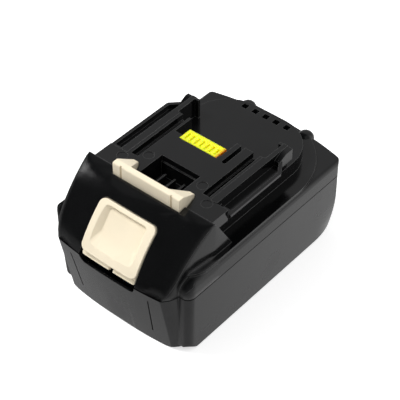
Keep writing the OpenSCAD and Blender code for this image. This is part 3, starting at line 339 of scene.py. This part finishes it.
tree = yellow.node_tree
right_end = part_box("signal_connector")[1].x
painted_shade_reach = 1.6 * mm
painted_shade_end = span(tree, split_up(tree, own_place(tree))["X"], right_end - painted_shade_reach, right_end, 0, 1)
# Painted shade: the connector is coloured orange over the last stretch towards its right end.
recolour(yellow, painted_shade_end, (0.62, 0.2, 0.004))
join(tree, tree.nodes["Principled BSDF"], Subsurface_Weight=1, Subsurface_Radius=(1.0, 0.75, 0.06),
     Subsurface_Scale=2.5 * mm)
print("connector glows up to x", round(right_end / mm, 1), "mm")

# %% [markdown]
# Three of the inner finishes change over a piece. A cell's sleeve stops short of both ends, where the steel can shows.
# Copper tracks lie under the green lacquer of the board as slightly paler lines. Fibre paper has long fibres, so its
# noise is stretched along the sheet.

# %% Bare can ends, board tracks and paper fibres
tree = sleeve_blue.node_tree
sleeve_end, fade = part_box("cell_1")[1].x - 1.2 * mm, 0.05 * mm
from_middle = calc(tree, "ABSOLUTE", split_up(tree, own_place(tree))["X"])
bare = span(tree, from_middle, sleeve_end - fade, sleeve_end + fade, 0, 1)
recolour(sleeve_blue, bare, (0.6, 0.6, 0.6))
join(tree, tree.nodes["Principled BSDF"], Metallic=bare)

tree = laminate.node_tree
tracks = part(tree, "ShaderNodeTexBrick", offset=0.37)
join(tree, tracks, Vector=own_place(tree), Scale=220, Mortar_Size=0.07, Brick_Width=7.3, Row_Height=0.5)
recolour(laminate, tracks.outputs["Fac"], (0.06, 0.26, 0.1))

tree = fibre_paper.node_tree
stretched = join(tree, part(tree, "ShaderNodeMapping"), Vector=own_place(tree), Scale=(1, 0.08, 1))
fibres = span(tree, noise(tree, stretched, 1500, 2), 0.55, 0.75, 0, 0.6)
recolour(fibre_paper, fibres, (0.45, 0.36, 0.22))
print("sleeves end at", round(sleeve_end / mm, 1), "mm from the middle")

# %% [markdown]
# ## Dressing the CAD pieces
# Every CAD piece keeps its shape. Each takes the finish of its material slot in the record.

# %% Finishes on all pieces
finish_of_slot = {
    "upper_case_plastic": upper_black, "lower_case_plastic": lower_black, "ivory_plastic": ivory,
    "yellow_plastic": yellow, "spring_steel": spring_wire, "screw_steel": steel, "contact_nickel": nickel,
    "board_laminate": laminate, "chip_black": chip_black, "fuse_cream": cream, "sensor_white": sensor_white,
    "holder_plastic": holder_grey, "insulating_sheet": fibre_paper, "foam": foam_black, "cell_can": sleeve_blue,
}
for node, slot_name in slot_of.items():
    nodes[node].data.materials.clear()
    nodes[node].data.materials.append(finish_of_slot[slot_name])
print("dressed", len(slot_of), "pieces")

# %% [markdown]
# ## Smooth mouldings
# A CAD mesh is loose triangles, which would show as facets on the curved slope. A copy with its points merged can be
# shaded smoothly, with every real edge kept sharp.
#
# On the real tray the two rear corners draw in towards the floor. The copy's flat walls are first sliced near each
# corner, so that there are points to move, and then drawn in by an amount that fades out along both walls and upwards.

# %% Rear corners of the tray
start_x, start_y, fade_top = lower_high.x - 13 * mm, 39 * mm, 24 * mm
reach_x, reach_y = 12.5 * mm, 14.5 * mm
slice_step, slice_rise = 2.5 * mm, 4 * mm

def share(value):
    return min(max(value, 0), 1)

def draw_in_corners(shape, amount):
    for side in (1, -1):
        slices = [(Vector((side, 0, 0)), side * (start_x + k * slice_step)) for k in range(5)]
        slices += [(Vector((0, 1, 0)), start_y + k * slice_step) for k in range(6)]
        slices += [(Vector((0, 0, 1)), k * slice_rise) for k in range(1, 7)]
        for normal, level in slices:
            near = [f for f in shape.faces
                    if any(side * v.co.x > start_x and v.co.y > start_y - 2 * mm for v in f.verts)]
            edges = {e for f in near for e in f.edges}
            points = {v for f in near for v in f.verts}
            place = Vector([level if n else 0 for n in normal])
            bmesh.ops.bisect_plane(shape, geom=[*points, *edges, *near], dist=1e-7, plane_co=place, plane_no=normal)
    bmesh.ops.triangulate(shape, faces=shape.faces)
    pulls = []
    for point in shape.verts:
        side = 1 if point.co.x > 0 else -1
        along_x = share((abs(point.co.x) - start_x) / reach_x)
        along_y = share((point.co.y - start_y) / reach_y)
        down = share((fade_top - point.co.z) / fade_top)
        pulls.append(amount * (along_x * along_y * down) ** 2)
        point.co -= pulls[-1] * Vector((0.72 * side, 0.69, 0))
    print("corners drawn in by up to", round(max(pulls) / mm, 2), "mm")

print("corners start", round(start_x / mm, 1), "mm from the middle")

# %% Smooth copies of the outside mouldings
def moulding(node, name, body, corner_pull=0):
    source = nodes[node].data
    shape = bmesh.new()
    points = [shape.verts.new(v.co) for v in source.vertices]
    for triangle in source.polygons:
        shape.faces.new([points[k] for k in triangle.vertices]).smooth = True
    bmesh.ops.remove_doubles(shape, verts=shape.verts, dist=0.002 * mm)
    bmesh.ops.dissolve_degenerate(shape, dist=0.001 * mm, edges=shape.edges)
    if corner_pull:
        draw_in_corners(shape, corner_pull)
    mesh = bpy.data.meshes.new(name)
    shape.to_mesh(mesh)
    shape.free()
    mesh.materials.append(source.materials[0])
    mesh.set_sharp_from_angle(angle=math.radians(28))
    piece = link_new(bpy.data.objects.new(name, mesh))
    even = piece.modifiers.new("even_normals", "WEIGHTED_NORMAL")
    even.keep_sharp, even.weight = True, 100
    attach(piece, body)
    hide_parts(node)
    print(name, len(mesh.polygons), "triangles")

moulding("upper_case", "upper_moulding", "pack")
moulding("lower_case", "lower_moulding", "pack", corner_pull=3.4 * mm)
moulding("release_latch", "latch_moulding", "latch")

# %% [markdown]
# ## Springs that follow a path
# Each return spring is one wire on a helix, which a spiral curve with a round profile gives at once. One tree makes
# the wire and sets it down on both seats, which are the points of the mesh that carries the tree. Its sizes are named
# inputs, read from the CAD springs' boxes.

# %% Helpers for Geometry Nodes
def new_tree(name, sizes):
    tree = bpy.data.node_groups.new(name, "GeometryNodeTree")
    tree.interface.new_socket("Places", in_out="INPUT", socket_type="NodeSocketGeometry")
    for size in sizes:
        kind = "NodeSocketVector" if hasattr(sizes[size], "__len__") else "NodeSocketFloat"
        tree.interface.new_socket(size, in_out="INPUT", socket_type=kind)
    tree.interface.new_socket("Finish", in_out="INPUT", socket_type="NodeSocketMaterial")
    tree.interface.new_socket("Geometry", in_out="OUTPUT", socket_type="NodeSocketGeometry")
    return tree, part(tree, "NodeGroupInput").outputs

def wound_wire(tree, facets, sides, wire_radius, coil_radius, rise, turns):
    helix = join(tree, part(tree, "GeometryNodeCurveSpiral"), Resolution=facets, Rotations=turns,
                 Start_Radius=coil_radius, End_Radius=coil_radius, Height=rise)
    section = join(tree, part(tree, "GeometryNodeCurvePrimitiveCircle"), Resolution=sides, Radius=wire_radius)
    return join(tree, part(tree, "GeometryNodeCurveToMesh"), Curve=helix, Profile_Curve=section, Fill_Caps=True)

def set_down(tree, shape, size):
    placed = join(tree, part(tree, "GeometryNodeInstanceOnPoints"), Points=size["Places"], Instance=shape)
    solid = join(tree, part(tree, "GeometryNodeRealizeInstances"), Geometry=placed)
    painted = join(tree, part(tree, "GeometryNodeSetMaterial"), Geometry=solid, Material=size["Finish"])
    tree.links.new(painted, part(tree, "NodeGroupOutput").inputs[0])

def grow(name, tree, sizes, paint, places):
    spots = bpy.data.meshes.new(name + "_places")
    spots.from_pydata(places, [], [])
    holder = link_new(bpy.data.objects.new(name + "_tree", spots))
    setup = holder.modifiers.new(name, "NODES")
    setup.node_group = tree
    for socket in tree.interface.items_tree:
        if socket.in_out == "INPUT" and socket.name != "Places":
            setup[socket.identifier] = paint if socket.name == "Finish" else sizes[socket.name]
    ready = holder.evaluated_get(bpy.context.evaluated_depsgraph_get())
    mesh = bpy.data.meshes.new_from_object(ready)
    holder.modifiers.remove(setup)
    bpy.data.objects.remove(holder)
    mesh.name = name
    print(name, len(mesh.polygons), "faces at", len(places), "places")
    return link_new(bpy.data.objects.new(name, mesh))

print("helpers for shapes:", ", ".join(tool.__name__ for tool in (new_tree, wound_wire, set_down, grow)))

# %% [markdown]
# The latch presses the springs towards their seats. Here each spring stands on its seat at the height of its CAD
# spring.

# %% Return springs
left_low, left_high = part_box("left_latch_spring")
right_low, right_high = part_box("right_latch_spring")
wire = 0.7 * mm
spring_sizes = {
    "Turns": 7.0, "Wire Radius": wire / 2, "Coil Radius": (left_high.x - left_low.x - wire) / 2,
    "Rise": left_high.z - left_low.z - wire,
}
seats = [((low.x + high.x) / 2, (low.y + high.y) / 2, low.z + wire / 2)
         for low, high in ((left_low, left_high), (right_low, right_high))]
tree, size = new_tree("wound_spring", spring_sizes)
wound = wound_wire(tree, 28, 12, size["Wire Radius"], size["Coil Radius"], size["Rise"], size["Turns"])
set_down(tree, wound, size)
springs = grow("return_springs", tree, spring_sizes, spring_wire, seats)
springs.data.set_sharp_from_angle(angle=math.radians(50))
for face in springs.data.polygons:
    face.use_smooth = True
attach(springs, "pack")
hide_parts("left_latch_spring", "right_latch_spring")
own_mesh(springs)

# %% [markdown]
# ## Screws that repeat
# The case screws are self-tapping: a round head with a bevelled rim and a six-sided drive, and a coarse thread. The
# head is joined and cut in the tree, the thread is a thin four-sided wire wound round the core, and one screw is set
# down on each of four places, which are the middles of the CAD screws. The board screws are the same tree with smaller
# sizes and the head on top.

# %% The screw's tree
def screw_tree(name, sizes):
    tree, size = new_tree(name, sizes)

    def lift(shape, height):
        move = join(tree, part(tree, "ShaderNodeCombineXYZ"), Z=height)
        return join(tree, part(tree, "GeometryNodeTransform"), Geometry=shape, Translation=move)

    def upright(sides, low_radius, high_radius, depth, height):
        cone = part(tree, "GeometryNodeMeshCone")
        join(tree, cone, Vertices=sides, Radius_Bottom=low_radius, Radius_Top=high_radius, Depth=depth)
        return lift(cone.outputs["Mesh"], height)

    head_radius, head_height, length = size["Head Radius"], size["Head Height"], size["Length"]
    rim = calc(tree, "MULTIPLY", head_height, 0.2)
    bevel = upright(40, calc(tree, "SUBTRACT", head_radius, rim), head_radius, rim, 0.0)
    head = upright(40, head_radius, head_radius, calc(tree, "SUBTRACT", head_height, rim), rim)
    core_radius = calc(tree, "MULTIPLY", size["Shank Radius"], 0.8)
    tip = core_radius
    shaft = calc(tree, "SUBTRACT", calc(tree, "SUBTRACT", length, head_height), tip)
    core = upright(24, core_radius, core_radius, shaft, head_height)
    point_radius = calc(tree, "MULTIPLY", core_radius, 0.5)
    point = upright(24, core_radius, point_radius, tip, calc(tree, "SUBTRACT", length, tip))
    drive = upright(6, size["Drive Radius"], size["Drive Radius"], calc(tree, "ADD", size["Drive Depth"], rim),
                    calc(tree, "MULTIPLY", rim, -1))
    body = part(tree, "GeometryNodeMeshBoolean", operation="UNION")
    for solid in (bevel, head, core, point):
        tree.links.new(solid, body.inputs["Mesh 2"])
    cut = part(tree, "GeometryNodeMeshBoolean", operation="DIFFERENCE")
    tree.links.new(body.outputs["Mesh"], cut.inputs["Mesh 1"])
    tree.links.new(drive, cut.inputs["Mesh 2"])
    ridge = calc(tree, "SUBTRACT", size["Shank Radius"], core_radius)
    run = calc(tree, "SUBTRACT", shaft, calc(tree, "MULTIPLY", ridge, 2))
    thread = wound_wire(tree, 24, 4, ridge, core_radius, run, calc(tree, "DIVIDE", run, size["Thread Pitch"]))
    both = part(tree, "GeometryNodeJoinGeometry")
    tree.links.new(lift(thread, calc(tree, "ADD", head_height, ridge)), both.inputs[0])
    tree.links.new(cut.outputs["Mesh"], both.inputs[0])
    turned = join(tree, part(tree, "GeometryNodeTransform"), Geometry=both.outputs[0], Rotation=size["Turn"])
    set_down(tree, turned, size)
    print(name, "has", len(tree.nodes), "nodes")
    return tree

# %% Case screws and board screws
def middle(values):
    return (min(values) + max(values)) / 2

def screw_set(node, name, head_up, sizes):
    low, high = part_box(node)
    sizes = {**sizes, "Length": high.z - low.z, "Turn": (math.pi if head_up else 0.0, 0.0, 0.0)}
    centre, places = (low + high) / 2, []
    for side_x in (-1, 1):
        for side_y in (-1, 1):
            own = [v.co for v in nodes[node].data.vertices
                   if (v.co.x - centre.x) * side_x > 0 and (v.co.y - centre.y) * side_y > 0]
            places.append((middle([v.x for v in own]), middle([v.y for v in own]), high.z if head_up else low.z))
    piece = grow(name, screw_tree(name + "_set", sizes), sizes, steel, places)
    piece.data.set_sharp_from_angle(angle=math.radians(35))
    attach(piece, "pack")
    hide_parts(node)

screw_set("case_screws", "tapping_screws", False, {
    "Head Radius": 2.3 * mm, "Head Height": 2 * mm, "Shank Radius": 1.25 * mm, "Drive Radius": 1 * mm,
    "Drive Depth": 1.2 * mm, "Thread Pitch": 1.1 * mm,
})
screw_set("board_screws", "board_fixings", True, {
    "Head Radius": 1.7 * mm, "Head Height": 1.2 * mm, "Shank Radius": 0.8 * mm, "Drive Radius": 0.6 * mm,
    "Drive Depth": 0.6 * mm, "Thread Pitch": 0.7 * mm,
})
